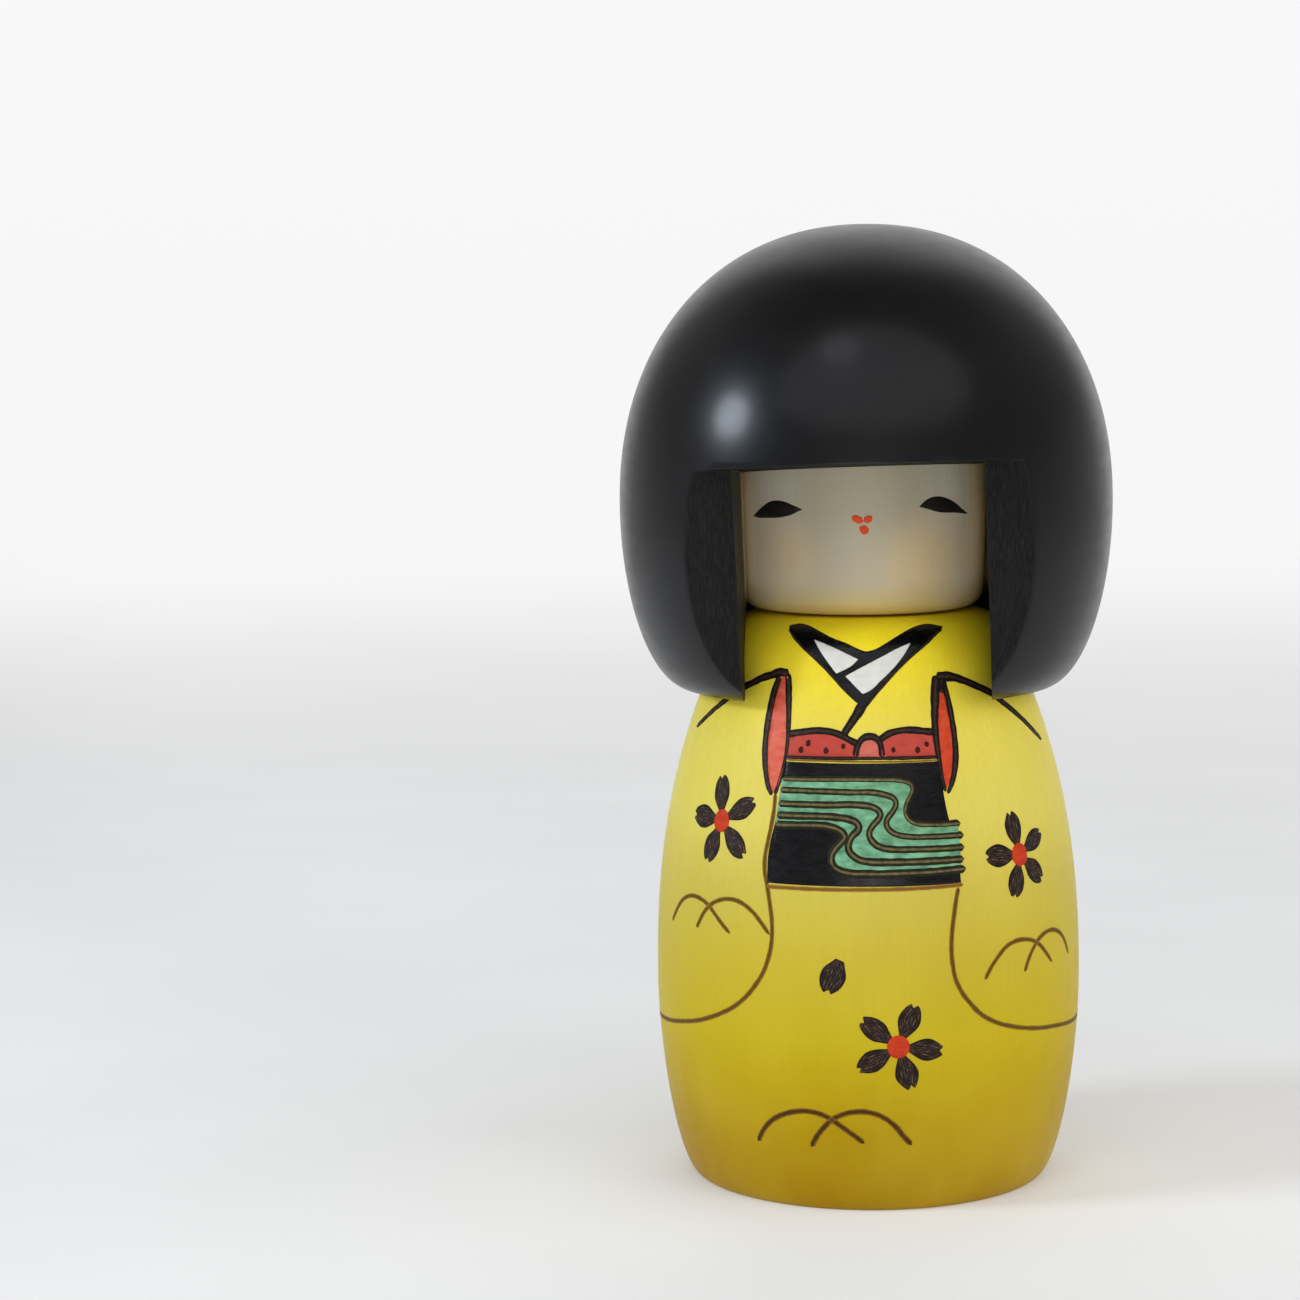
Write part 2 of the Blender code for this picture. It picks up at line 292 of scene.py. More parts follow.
def turned(name, profile, mats):
    """A turned piece: the profile spun round Z."""
    edit = bmesh.new()
    verts = [edit.verts.new(Vector((r, 0.0, z)) * MM) for r, z in profile]
    edges = [edit.edges.new(pair) for pair in zip(verts, verts[1:])]
    bmesh.ops.spin(
        edit, geom=verts + edges, cent=(0, 0, 0), axis=(0, 0, 1), dvec=(0, 0, 0),
        angle=math.tau, steps=TURN_STEPS, use_merge=True)
    bmesh.ops.remove_doubles(edit, verts=edit.verts, dist=0.002 * MM)
    bmesh.ops.recalc_face_normals(edit, faces=edit.faces)
    mesh = bpy.data.meshes.new(name)
    edit.to_mesh(mesh)
    edit.free()
    for mat in mats:
        mesh.materials.append(mat)
    mesh = in_order(mesh)
    finish_mesh(mesh)
    return link(bpy.data.objects.new(name, mesh))


def notch_cutter(flat_mat, wall_mat):
    """The block that opens the front of the hair: a wide flat, and a slot on through to the bore.

    The walls of the slot take a material of their own.
    """
    rise = math.tan(math.radians(FRINGE_RISE))
    lean = math.tan(math.radians(FLAT_LEAN))
    foot = CUT_FOOT_Z - FRINGE_Z
    flat_foot = -FLAT_DEPTH - lean * foot
    far = 2.0 * HAIR_R
    plan = [
        (-far, -CUT_REACH, -CUT_REACH), (far, -CUT_REACH, -CUT_REACH),
        (far, -FLAT_DEPTH, flat_foot), (SLOT_HALF_WIDTH, -FLAT_DEPTH, flat_foot),
        (SLOT_HALF_WIDTH, 0.0, 0.0), (-SLOT_HALF_WIDTH, 0.0, 0.0),
        (-SLOT_HALF_WIDTH, -FLAT_DEPTH, flat_foot), (-far, -FLAT_DEPTH, flat_foot)]
    edit = bmesh.new()
    top = [edit.verts.new(Vector((x, y, -rise * (y + FLAT_DEPTH))) * MM) for x, y, _ in plan]
    low = [edit.verts.new(Vector((x, y, foot)) * MM) for x, _, y in plan]
    edit.faces.new(top)
    edit.faces.new(low)
    for i, here in enumerate(plan):
        j = (i + 1) % len(plan)
        side = edit.faces.new((top[i], top[j], low[j], low[i]))
        side.material_index = int(here[0] == plan[j][0] and abs(here[0]) == SLOT_HALF_WIDTH)
    bmesh.ops.recalc_face_normals(edit, faces=edit.faces)
    mesh = bpy.data.meshes.new("notch_cutter")
    edit.to_mesh(mesh)
    edit.free()
    mesh.materials.append(flat_mat)
    mesh.materials.append(wall_mat)
    cutter = link(bpy.data.objects.new("notch_cutter", mesh))
    cutter.location = (0.0, 0.0, FRINGE_Z * MM)
    cutter.rotation_euler = Euler((0.0, -math.radians(CUT_ROLL), 0.0))
    return cutter


def edited(mesh, change, *settings):
    """The mesh after change(bmesh, *settings), in its fixed order."""
    edit = bmesh.new()
    edit.from_mesh(mesh)
    change(edit, *settings)
    edit.to_mesh(mesh)
    edit.free()
    return in_order(mesh)


def close_slivers(edit):
    bmesh.ops.remove_doubles(edit, verts=edit.verts, dist=SAWN_WELD * MM)


def rub_edges(edit, flat):
    corner = math.radians(SAWN_CORNER)
    sharp = [e for e in edit.edges if e.is_manifold and e.calc_face_angle() > corner and is_sawn(e, flat)]
    sharp.sort(key=lambda e: sorted(v.index for v in e.verts))
    bmesh.ops.bevel(
        edit, geom=sharp, offset=SAWN_EDGE * MM, offset_type="OFFSET", segments=2, profile=0.5,
        affect="EDGES", clamp_overlap=False)


def saw(obj, cutter, flat_mat):
    """Cuts the object and rubs the sawn edges round."""
    boolean = obj.modifiers.new(cutter.name, "BOOLEAN")
    boolean.operation = "DIFFERENCE"
    boolean.solver = "EXACT"
    boolean.material_mode = "TRANSFER"
    boolean.object = cutter
    bpy.context.view_layer.update()
    mesh = bpy.data.meshes.new_from_object(obj.evaluated_get(bpy.context.evaluated_depsgraph_get()))
    obj.modifiers.clear()
    bpy.data.objects.remove(cutter, do_unlink=True)
    mesh = edited(in_order(mesh), close_slivers)
    mesh = edited(mesh, rub_edges, mesh.materials.find(flat_mat.name))
    finish_mesh(mesh, 40.0)
    obj.data = mesh


def is_sawn(edge, flat):
    """Whether the edge bounds a sawn flat, and lies clear of the bore."""
    middle = (edge.verts[0].co + edge.verts[1].co) * 0.5
    outside = middle.xy.length > (BORE_R + HOLE_GAP) * MM
    return outside and any(face.material_index == flat for face in edge.link_faces)


def line_bore(mesh):
    """Gives the hollow of the hair its second material."""
    for polygon in mesh.polygons:
        out = polygon.center.xy
        is_wall = polygon.normal.xy.dot(out) < -0.1 * out.length
        is_ceiling = out.length < 3.0 * CROWN_DOWEL_R * MM and polygon.normal.z < -0.9
        if is_wall or is_ceiling:
            polygon.material_index = 1


def shift_outside(mesh, offset, hole_limit):
    """Moves a turned shape sideways, but leaves its dowel holes on the turning axis."""
    for vert in mesh.vertices:
        if vert.co.xy.length > hole_limit * MM:
            vert.co.x += offset * MM


# ---------------------------------------------------------------- drawing on a round surface

def skin_point(radius, unrolled_r, offset, s, z, lift):
    """Where (s, z) of an unrolled drawing lies, lifted off the surface along its normal."""
    step = 0.05    # millimetres, for the slope
    slope = (radius(z + step) - radius(z - step)) / (2.0 * step)
    tilt = math.hypot(1.0, slope)
    r = radius(z) + lift / tilt
    turn = s / unrolled_r
    return Vector((offset + r * math.sin(turn), -r * math.cos(turn), z - lift * slope / tilt)) * MM


def on_body(s, z, lift):
    return skin_point(body_radius, BODY_R, 0.0, s, z, lift)


def on_face(s, z, lift):
    return skin_point(face_radius, FACE_R, FACE_OFFSET, s, z, lift)


def smooth(points, step=STROKE_STEP):
    """A smooth curve through the points, read every step millimetres or so."""
    points = [Vector(point) for point in points]
    spans = [max((b - a).length, 1e-6) for a, b in zip(points, points[1:])]
    slopes = []
    for i in range(len(points)):
        ahead = (points[i + 1] - points[i]) / spans[i] if i < len(spans) else None
        behind = (points[i] - points[i - 1]) / spans[i - 1] if i > 0 else None
        if ahead is None or behind is None:
            slopes.append(ahead or behind)
        else:
            slopes.append((ahead * spans[i - 1] + behind * spans[i]) / (spans[i - 1] + spans[i]))
    curve = [points[0]]
    for i, span in enumerate(spans):
        count = max(2, math.ceil(span / step))
        for k in range(1, count + 1):
            t = k / count
            curve.append(
                points[i] * (2 * t ** 3 - 3 * t ** 2 + 1) + slopes[i] * span * (t ** 3 - 2 * t ** 2 + t)
                + points[i + 1] * (3 * t ** 2 - 2 * t ** 3) + slopes[i + 1] * span * (t ** 3 - t ** 2))
    return curve


def closed(*sides, step=STROKE_STEP):
    """A closed outline from smooth sides, each starting where the one before it ends."""
    points = []
    for side in sides:
        points += smooth(side, step)[:-1]
    return points


def new_film(name, edit, mat):
    """The finished object of a thin film. Its underside is sunk in the wood."""
    mesh = bpy.data.meshes.new(name)
    edit.to_mesh(mesh)
    edit.free()
    mesh.materials.append(mat)
    mesh.shade_smooth()
    film_obj = link(bpy.data.objects.new(name, mesh))
    solid = film_obj.modifiers.new("film", "SOLIDIFY")
    solid.thickness = FILM_THICKNESS * MM
    solid.offset = -1.0
    solid.use_rim = True
    return film_obj


def face_outwards(edit):
    """Turns the faces of an open film away from the doll's axis."""
    edit.normal_update()
    back = [f for f in edit.faces if f.normal.dot(Vector((*f.calc_center_median().xy, 0.0))) < 0.0]
    bmesh.ops.reverse_faces(edit, faces=back)


def film(name, outlines, surface, mat, lift=FILM_LIFT, cell=FILM_CELL):
    """A painted film with flat outlines, wrapped on the surface."""
    edit = bmesh.new()
    for outline in outlines:
        edit.faces.new([edit.verts.new((s, z, 0.0)) for s, z in outline])
    bmesh.ops.triangulate(edit, faces=edit.faces)
    for axis in (0, 1):
        low = math.floor(min(v.co[axis] for v in edit.verts) / cell)
        high = math.ceil(max(v.co[axis] for v in edit.verts) / cell)
        normal = Vector((0.0, 0.0, 0.0))
        normal[axis] = 1.0
        for line in range(low, high + 1):
            bmesh.ops.bisect_plane(
                edit, geom=edit.verts[:] + edit.edges[:] + edit.faces[:], dist=1e-5,
                plane_co=normal * (line * cell), plane_no=normal)
    for v in edit.verts:
        v.co = surface(v.co.x, v.co.y, lift)
    face_outwards(edit)
    return new_film(name, edit, mat)


def add_grid(edit, rows, surface, lifts):
    """A strip from rows of (s, z, across, along). across and along are kept for the material."""
    across = edit.verts.layers.float.get("across") or edit.verts.layers.float.new("across")
    along = edit.verts.layers.float.get("along") or edit.verts.layers.float.new("along")
    grid = []
    for row in rows:
        line = []
        for (s, z, u, v), lift in zip(row, lifts):
            vert = edit.verts.new(surface(s, z, lift))
            vert[across] = u
            vert[along] = v
            line.append(vert)
        grid.append(line)
    for row, following in zip(grid, grid[1:]):
        for i in range(len(row) - 1):
            edit.faces.new((row[i], row[i + 1], following[i + 1], following[i]))


def end_share(distance, reach):
    """How much of its width a stroke has, this far from an end that is rounded over reach."""
    if distance >= reach:
        return 1.0
    return math.sqrt(max(1.0 - (1.0 - distance / reach) ** 2, 0.0))


def stroke_rows(points, width, ends, waver):
    """Rows across a stroke. A point may give its own width after s and z."""
    points = [point if len(point) == 3 else (*point, width) for point in points]
    curve = smooth(points)
    reach = [0.0]
    for a, b in zip(curve, curve[1:]):
        reach.append(reach[-1] + (b.xy - a.xy).length)
    rows = []
    last = len(curve) - 1
    for i, point in enumerate(curve):
        heading = (curve[min(i + 1, last)].xy - curve[max(i - 1, 0)].xy).normalized()
        side = Vector((-heading.y, heading.x))
        share = min(end_share(reach[i], ends[0]), end_share(reach[last] - reach[i], ends[1]))
        wobble = 1.0 + waver * noise.noise(Vector((point.x * 0.9, point.y * 0.9, width)))
        half = 0.5 * point.z * max(share, 0.06) * wobble
        rows.append([(*(point.xy + side * half * u), u, reach[i]) for u in ACROSS])
    return rows


def strokes(name, lines, surface, mat, width, ends=None, hollow=0.6, waver=0.16):
    """Burned or brushed lines as one film. hollow below 0 makes them stand up in the middle."""
    ends = ends or (0.5 * width, 0.5 * width)
    edit = bmesh.new()
    for index, points in enumerate(lines):
        lift = FILM_LIFT + LINE_LIFT * index
        lifts = [lift * (1.0 - hollow * (1.0 - u * u)) for u in ACROSS]
        add_grid(edit, stroke_rows(points, width, ends, waver), surface, lifts)
    face_outwards(edit)
    return new_film(name, edit, mat)


def petal_rows(middle, direction, reach, width, start):
    """A petal that widens from the flower's middle to a blunt, notched tip."""
    angle = math.radians(direction)
    ahead = Vector((math.cos(angle), math.sin(angle)))
    side = Vector((-ahead.y, ahead.x))
    rows = []
    for k in range(PETAL_ROWS + 1):
        t = k / PETAL_ROWS
        opening = min(t / PETAL_WIDEST, 1.0)
        closing = max(t - PETAL_WIDEST, 0.0) / (1.0 - PETAL_WIDEST)
        swell = (0.34 + 0.66 * math.sin(0.5 * math.pi * opening) ** 1.1) * (1.0 - 0.42 * closing ** 2.2)
        row = []
        for c in range(PETAL_COLUMNS):
            u = 2.0 * c / (PETAL_COLUMNS - 1) - 1.0
            notch = 0.13 * max(1.0 - abs(u - 0.1) / 0.45, 0.0) + 0.1 * abs(u) ** 3
            rough = 0.036 * noise.noise(Vector((direction * 0.37, u * 3.1, 0.5)))
            length = start + (reach - start) * t * (1.0 - notch + rough)
            uneven = 1.0 + 0.05 * noise.noise(Vector((direction, t * 4.0, 1.7)))
            point = Vector(middle) + ahead * length + side * (u * 0.5 * width * swell * uneven)
            row.append((point.x, point.y, u, length))
        rows.append(row)
    return rows


def petals(name, middle, parts, surface, mat, start=PETAL_START):
    """Petals as one film. parts are (direction, reach, width)."""
    edit = bmesh.new()
    for direction, reach, width in parts:
        rows = petal_rows(middle, direction, reach, width, start)
        add_grid(edit, rows, surface, [FILM_LIFT] * len(rows[0]))
    face_outwards(edit)
    return new_film(name, edit, mat)


def disc(middle, radius, uneven=0.06):
    """A dab of paint: a circle that isn't quite even."""
    points = []
    corners = 36
    for step in range(corners):
        angle = math.tau * step / corners
        direction = Vector((math.cos(angle), math.sin(angle)))
        r = radius * (1.0 + uneven * noise.noise(Vector((*(direction * 1.3), middle[0]))))
        points.append(tuple(Vector(middle) + direction * r))
    return points


# ---------------------------------------------------------------- materials

def srgb(r, g, b):
    """A colour from its 0 to 255 sRGB values."""
    linear = []
    for value in (r, g, b):
        share = value / 255.0
        linear.append(share / 12.92 if share <= 0.04045 else ((share + 0.055) / 1.055) ** 2.4)
    return (*linear, 1.0)


def new_material(name, roughness, specular=0.5):
    mat = bpy.data.materials.new(name)
    mat.use_nodes = True
    shader = mat.node_tree.nodes["Principled BSDF"]
    shader.inputs["Roughness"].default_value = roughness
    shader.inputs["Specular IOR Level"].default_value = specular
    return mat, mat.node_tree, shader


def node(tree, kind, inputs=None, **settings):
    """A new shader node. An input takes a number or colour, or a socket to link."""
    made = tree.nodes.new("ShaderNode" + kind)
    for key, value in settings.items():
        setattr(made, key, value)
    for key, value in (inputs or {}).items():
        if isinstance(value, bpy.types.NodeSocket):
            tree.links.new(value, made.inputs[key])
        else:
            made.inputs[key].default_value = value
    return made


def millimetres(tree, stretch=(1.0, 1.0, 1.0)):
    """The piece's own coordinates in millimetres, stretched for grain."""
    spot = node(tree, "TexCoord").outputs["Object"]
    scale = tuple(share / MM for share in stretch)
    return node(tree, "Mapping", {"Vector": spot, "Scale": scale}).outputs["Vector"]


def noise_at(tree, vector, scale, detail=3.0, roughness=0.55, distortion=0.0):
    settings = {"Vector": vector, "Scale": scale, "Detail": detail, "Roughness": roughness,
                "Distortion": distortion}
    return node(tree, "TexNoise", settings).outputs["Fac"]


def ramp(tree, fac, stops):
    """A colour ramp. stops are (position, colour or number)."""
    made = node(tree, "ValToRGB", {"Fac": fac})
    band = made.color_ramp
    while len(band.elements) < len(stops):
        band.elements.new(1.0)
    for element, (position, value) in zip(band.elements, stops):
        element.position = position
        element.color = value if isinstance(value, tuple) else (value, value, value, 1.0)
    return made.outputs["Color"]


def mix(tree, fac, a, b):
    made = node(tree, "Mix", data_type="RGBA")
    for index, value in ((0, fac), (6, a), (7, b)):
        if isinstance(value, bpy.types.NodeSocket):
            tree.links.new(value, made.inputs[index])
        elif index == 0 or isinstance(value, tuple):
            made.inputs[index].default_value = value
        else:
            made.inputs[index].default_value = (value, value, value, 1.0)
    return made.outputs[2]


def maths(tree, operation, a, b=0.0):
    return node(tree, "Math", {0: a, 1: b}, operation=operation).outputs[0]


def attribute(tree, name):
    return node(tree, "Attribute", attribute_name=name).outputs["Fac"]


def along_axis(tree, vector, axis):
    return node(tree, "SeparateXYZ", {"Vector": vector}).outputs[axis]


def vector_maths(tree, operation, output, a, b=(0.0, 0.0, 0.0)):
    return node(tree, "VectorMath", {0: a, 1: b}, operation=operation).outputs[output]


def map_range(tree, value, low, high, to_low=0.0, to_high=1.0):
    inputs = {"Value": value, "From Min": low, "From Max": high, "To Min": to_low, "To Max": to_high}
    return node(tree, "MapRange", inputs, interpolation_type="SMOOTHSTEP").outputs["Result"]


def bump(tree, shader, height, depth):
    """Height from 0 to 1 stands for depth in millimetres."""
    made = node(tree, "Bump", {"Height": height, "Strength": 1.0, "Distance": depth * MM})
    tree.links.new(made.outputs["Normal"], shader.inputs["Normal"])


def dress(tree, shader, colour, gloss, low, high, height, depth):
    """Colour, a roughness from low to high that follows the noise gloss, and a bump."""
    tree.links.new(colour, shader.inputs["Base Color"])
    tree.links.new(map_range(tree, gloss, 0.3, 0.7, low, high), shader.inputs["Roughness"])
    bump(tree, shader, height, depth)


def stained_wood():
    """Yellow stain under a satin varnish, painted darker towards the foot as painted shade and paler higher
    up as painted light and sheen.
    """
    mat, tree, shader = new_material("stained_wood", 0.42, specular=0.11)
    fibre = noise_at(tree, millimetres(tree, (1.0, 1.0, 0.035)), 1.9, 4.0, 0.6)
    streak = noise_at(tree, millimetres(tree, (1.0, 1.0, 0.02)), 0.22, 3.0, 0.5, 0.4)
    cloud = noise_at(tree, millimetres(tree), 0.045, 2.0)
    height = map_range(tree, along_axis(tree, millimetres(tree), "Z"), 0.0, NECK_TOP_Z)
    # The stain colour by height holds painted shade at the foot, and painted light and sheen on the upper
    # body and neck.
    stain = ramp(tree, height, [
        (0.0, srgb(156, 118, 0)), (0.13, srgb(178, 152, 0)), (0.22, srgb(190, 170, 22)),
        (0.42, srgb(193, 175, 56)), (0.58, srgb(199, 185, 82)), (0.74, srgb(220, 208, 102)),
        (0.9, srgb(226, 213, 96)), (1.0, srgb(252, 228, 34))])
    tone = mix(tree, maths(tree, "MULTIPLY", streak, 0.3), stain, srgb(196, 164, 6))
    tone = mix(tree, ramp(tree, cloud, [(0.35, 0.0), (0.75, 0.2)]), tone, srgb(228, 212, 66))
    tone = mix(tree, ramp(tree, fibre, [(0.3, 0.09), (0.6, 0.0)]), tone, srgb(172, 134, 4))
    upward = along_axis(tree, node(tree, "TexCoord").outputs["Normal"], "Z")
    underside = map_range(tree, maths(tree, "MULTIPLY", upward, -1.0), 0.93, 0.99)
    tone = mix(tree, underside, tone, end_grain(tree))
    gloss = noise_at(tree, millimetres(tree), 0.5, 3.0)
    dress(tree, shader, tone, gloss, 0.38, 0.48, fibre, 0.004)
    return mat


def end_grain(tree):
    """Year rings and turning marks on the underside."""
    heart = node(tree, "Mapping", {"Vector": millimetres(tree), "Location": (46.0, 12.0, 0.0)})
    year = {"Vector": heart.outputs["Vector"], "Scale": 0.14, "Distortion": 2.4, "Detail": 3.0,
            "Detail Scale": 0.8}
    tool = {"Vector": millimetres(tree), "Scale": 0.9, "Distortion": 0.3}
    rings, marks = [
        node(tree, "TexWave", wave, wave_type="RINGS", rings_direction="Z").outputs["Fac"]
        for wave in (year, tool)]
    wood = ramp(tree, rings, [(0.2, srgb(214, 182, 98)), (0.9, srgb(184, 144, 58))])
    return mix(tree, maths(tree, "MULTIPLY", marks, 0.18), wood, srgb(150, 112, 40))


def black_lacquer():
    """Near-black lacquer, rubbed to a satin gloss."""
    mat, tree, shader = new_material("black_lacquer", 0.36, specular=0.17)
    shader.inputs["Coat Weight"].default_value = 0.24
    shader.inputs["Coat Roughness"].default_value = 0.19
    shader.inputs["Specular Tint"].default_value = (0.86, 0.92, 1.0, 1.0)
    cloud = noise_at(tree, millimetres(tree), 0.07, 3.0)
    speck = noise_at(tree, millimetres(tree), 3.0, 2.0)
    tone = mix(tree, ramp(tree, cloud, [(0.35, 0.0), (0.7, 1.0)]), srgb(7, 6, 7), srgb(13, 9, 9))
    tone = mix(tree, ramp(tree, speck, [(0.74, 0.0), (0.8, 0.5)]), tone, srgb(52, 48, 46))
    haze = noise_at(tree, millimetres(tree, (1.0, 1.0, 3.0)), 0.16, 4.0)
    turning = noise_at(tree, millimetres(tree, (0.02, 0.02, 1.0)), 1.1, 3.0)
    dress(tree, shader, tone, haze, 0.3, 0.36, turning, 0.004)
    return mat


def sawn_wood():
    """Sawn faces of the hair: matte black stain that leaves the saw's fine upright grain."""
    mat, tree, shader = new_material("sawn_wood", 0.75, specular=0.2)
    fibre = noise_at(tree, millimetres(tree, (1.0, 1.0, 0.03)), 5.5, 4.0, 0.7)
    pores = noise_at(tree, millimetres(tree, (1.0, 1.0, 0.12)), 6.5, 3.0)
    tone = ramp(tree, fibre, [(0.32, srgb(6, 6, 5)), (0.52, srgb(15, 16, 14)), (0.74, srgb(31, 32, 29))])
    tone = mix(tree, ramp(tree, pores, [(0.6, 0.0), (0.72, 0.55)]), tone, srgb(10, 10, 10))
    dress(tree, shader, tone, fibre, 0.82, 0.62, fibre, 0.06)
    return mat


def bore_wood():
    """The inside of the hair: bare wood, black at the front where the stain of the flats runs in."""
    mat, tree, shader = new_material("bore_wood", 0.6, specular=0.3)
    fibre = noise_at(tree, millimetres(tree, (1.0, 1.0, 0.05)), 2.4, 4.0)
    cloud = noise_at(tree, millimetres(tree), 0.12, 3.0)
    tone = ramp(tree, fibre, [(0.3, srgb(222, 196, 144)), (0.7, srgb(242, 222, 176))])
    tone = mix(tree, ramp(tree, cloud, [(0.35, 0.0), (0.75, 0.5)]), tone, srgb(212, 182, 128))
    depth = along_axis(tree, millimetres(tree), "Y")
    ragged = maths(tree, "ADD", depth, maths(tree, "MULTIPLY", fibre, 4.0))
    tone = mix(tree, map_range(tree, ragged, -7.0, -12.0), tone, srgb(40, 34, 24))
    # Painted shade: the bore turns near-black towards its lower rim, in the recess under the face.
    height = along_axis(tree, millimetres(tree), "Z")
    tone = mix(tree, map_range(tree, height, 95.0, 91.0), tone, srgb(16, 14, 11))
    dress(tree, shader, tone, fibre, 0.66, 0.52, fibre, 0.02)
    return mat


def cheek(tree, centre, radius, strength):
    """How strong the blush is round a point of the face, as a share."""
    distance = vector_maths(tree, "DISTANCE", "Value", millimetres(tree), tuple(centre))
    return map_range(tree, distance, radius, radius * 0.15, 0.0, strength)


def painted_face():
    """Ivory paint with a dusting of orange blush on the cheeks, painted lighter at the sides and yellow at
    the foot as painted light.
    """
    mat, tree, shader = new_material("painted_face", 0.5, specular=0.3)
    fibre = noise_at(tree, millimetres(tree, (1.0, 1.0, 0.06)), 1.6, 4.0)
    cloud = noise_at(tree, millimetres(tree), 0.12, 3.0)
    # Painted light: the ivory is painted lighter towards the sides of the face, where the locks shade it.
    side = maths(tree, "ABSOLUTE", along_axis(tree, millimetres(tree), "X"))
    ground_with_painted_light = mix(tree, map_range(tree, side, 6.0, 17.0), srgb(186, 177, 152), srgb(252, 245, 222))
    tone = mix(tree, ramp(tree, cloud, [(0.3, 0.0), (0.7, 0.18)]), ground_with_painted_light, srgb(206, 194, 164))
    tone = mix(tree, ramp(tree, fibre, [(0.3, 0.12), (0.6, 0.0)]), tone, srgb(182, 168, 136))
    # The right blush is painted lighter and stronger than the left, partly as painted light on the shaded
    # right of the face.
    left = cheek(tree, on_face(-13.0, 99.5, 0.0) / MM, 9.0, 0.4)
    right = cheek(tree, on_face(12.0, 98.0, 0.0) / MM, 11.0, 0.5)
    tone = mix(tree, left, tone, srgb(238, 200, 134))
    tone = mix(tree, right, tone, srgb(248, 210, 142))
    # Painted reflection: yellow bounce light from the body, painted on near the foot of the face.
    painted_bounce_light = map_range(tree, along_axis(tree, millimetres(tree), "Z"), 96.5, 91.0, 0.0, 0.6)
    tone = mix(tree, painted_bounce_light, tone, srgb(204, 172, 62))
    dress(tree, shader, tone, cloud, 0.46, 0.56, fibre, 0.008)
    return mat


def bare_wood():
    """Unpainted dowel stock."""
    mat, tree, shader = new_material("bare_wood", 0.6)
    fibre = noise_at(tree, millimetres(tree, (1.0, 1.0, 0.05)), 2.4, 4.0)
    tone = ramp(tree, fibre, [(0.3, srgb(176, 134, 84)), (0.7, srgb(214, 178, 128))])
    dress(tree, shader, tone, fibre, 0.68, 0.55, fibre, 0.03)
    return mat


def edge_share(tree):
    """0 in the middle of a stroke, 1 at its edges."""
    return maths(tree, "ABSOLUTE", attribute(tree, "across"))


def burned_line(name, core, edge, gloss=0.5, spread=(0.35, 0.95)):
    """A line drawn with a hot iron.

    Its colour turns from core to edge between the two shares of its half width in spread.
    """
    mat, tree, shader = new_material(name, gloss, specular=0.14)
    blotch = noise_at(tree, millimetres(tree), 1.6, 3.0)
    uneven = maths(tree, "MULTIPLY", maths(tree, "SUBTRACT", blotch, 0.5), 0.9)
    fade = maths(tree, "ADD", edge_share(tree), uneven)
    tone = ramp(tree, fade, [(spread[0], core), (spread[1], edge)])
    dress(tree, shader, tone, blotch, gloss - 0.08, gloss + 0.1, blotch, 0.03)
    return mat


def double_line():
    """A burned groove painted on both sides: two dark lines with a worn strip between."""
    mat, tree, shader = new_material("stream_line", 0.36, specular=0.16)
    blotch = noise_at(tree, millimetres(tree), 1.3, 3.0)
    worn = ramp(tree, blotch, [(0.35, srgb(78, 74, 46)), (0.65, srgb(116, 106, 60))])
    dark = ramp(tree, blotch, [(0.3, srgb(22, 18, 10)), (0.7, srgb(40, 36, 18))])
    split = ramp(tree, edge_share(tree), [(0.16, 0.0), (0.36, 1.0)])
    tree.links.new(mix(tree, split, worn, dark), shader.inputs["Base Color"])
    bump(tree, shader, maths(tree, "SUBTRACT", 1.0, edge_share(tree)), 0.05)
    return mat


def enamel(name, dark, light, roughness, specular=0.16, depth=0.03):
    """Brushed enamel, with a slight unevenness that shows in its gloss."""
    mat, tree, shader = new_material(name, roughness, specular=specular)
    cloud = noise_at(tree, millimetres(tree, (1.0, 1.0, 2.0)), 0.5, 3.0)
    brush = noise_at(tree, millimetres(tree, (1.0, 1.0, 4.0)), 0.8, 3.0)
    tone = ramp(tree, cloud, [(0.3, dark), (0.7, light)])
    dress(tree, shader, tone, cloud, roughness, roughness + 0.12, brush, depth)
    return mat


def scorched_petal():
    """Petals burned in with short strokes that run out from the flower's middle."""
    mat, tree, shader = new_material("scorched_petal", 0.5, specular=0.16)
    across = maths(tree, "MULTIPLY", attribute(tree, "across"), 2.6)
    fan = node(tree, "CombineXYZ", {"X": across, "Y": attribute(tree, "along")}).outputs["Vector"]
    strands = node(tree, "Mapping", {"Vector": fan, "Scale": (2.2, 0.5, 1.0)}).outputs["Vector"]
    scratch = noise_at(tree, strands, 1.6, 4.0, 0.7)
    tone = ramp(tree, scratch, [(0.4, srgb(16, 10, 9)), (0.54, srgb(42, 29, 25)), (0.64, srgb(126, 98, 74))])
    rim = ramp(tree, edge_share(tree), [(0.66, 0.0), (0.92, 0.9)])
    tree.links.new(mix(tree, rim, tone, srgb(20, 10, 6)), shader.inputs["Base Color"])
    bump(tree, shader, scratch, 0.08)
    return mat


# ---------------------------------------------------------------- the drawing

def place(piece, body):
    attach(piece, body)
    return piece


def on_kimono(piece):
    place(piece, "torso")


def kimono_film(name, outlines, mat, lift=FILM_LIFT, cell=FILM_CELL):
    on_kimono(film(name, outlines, on_body, mat, lift, cell))


def kimono_strokes(name, lines, mat, width, ends=None, hollow=0.6, waver=0.16):
    on_kimono(strokes(name, lines, on_body, mat, width, ends, hollow, waver))


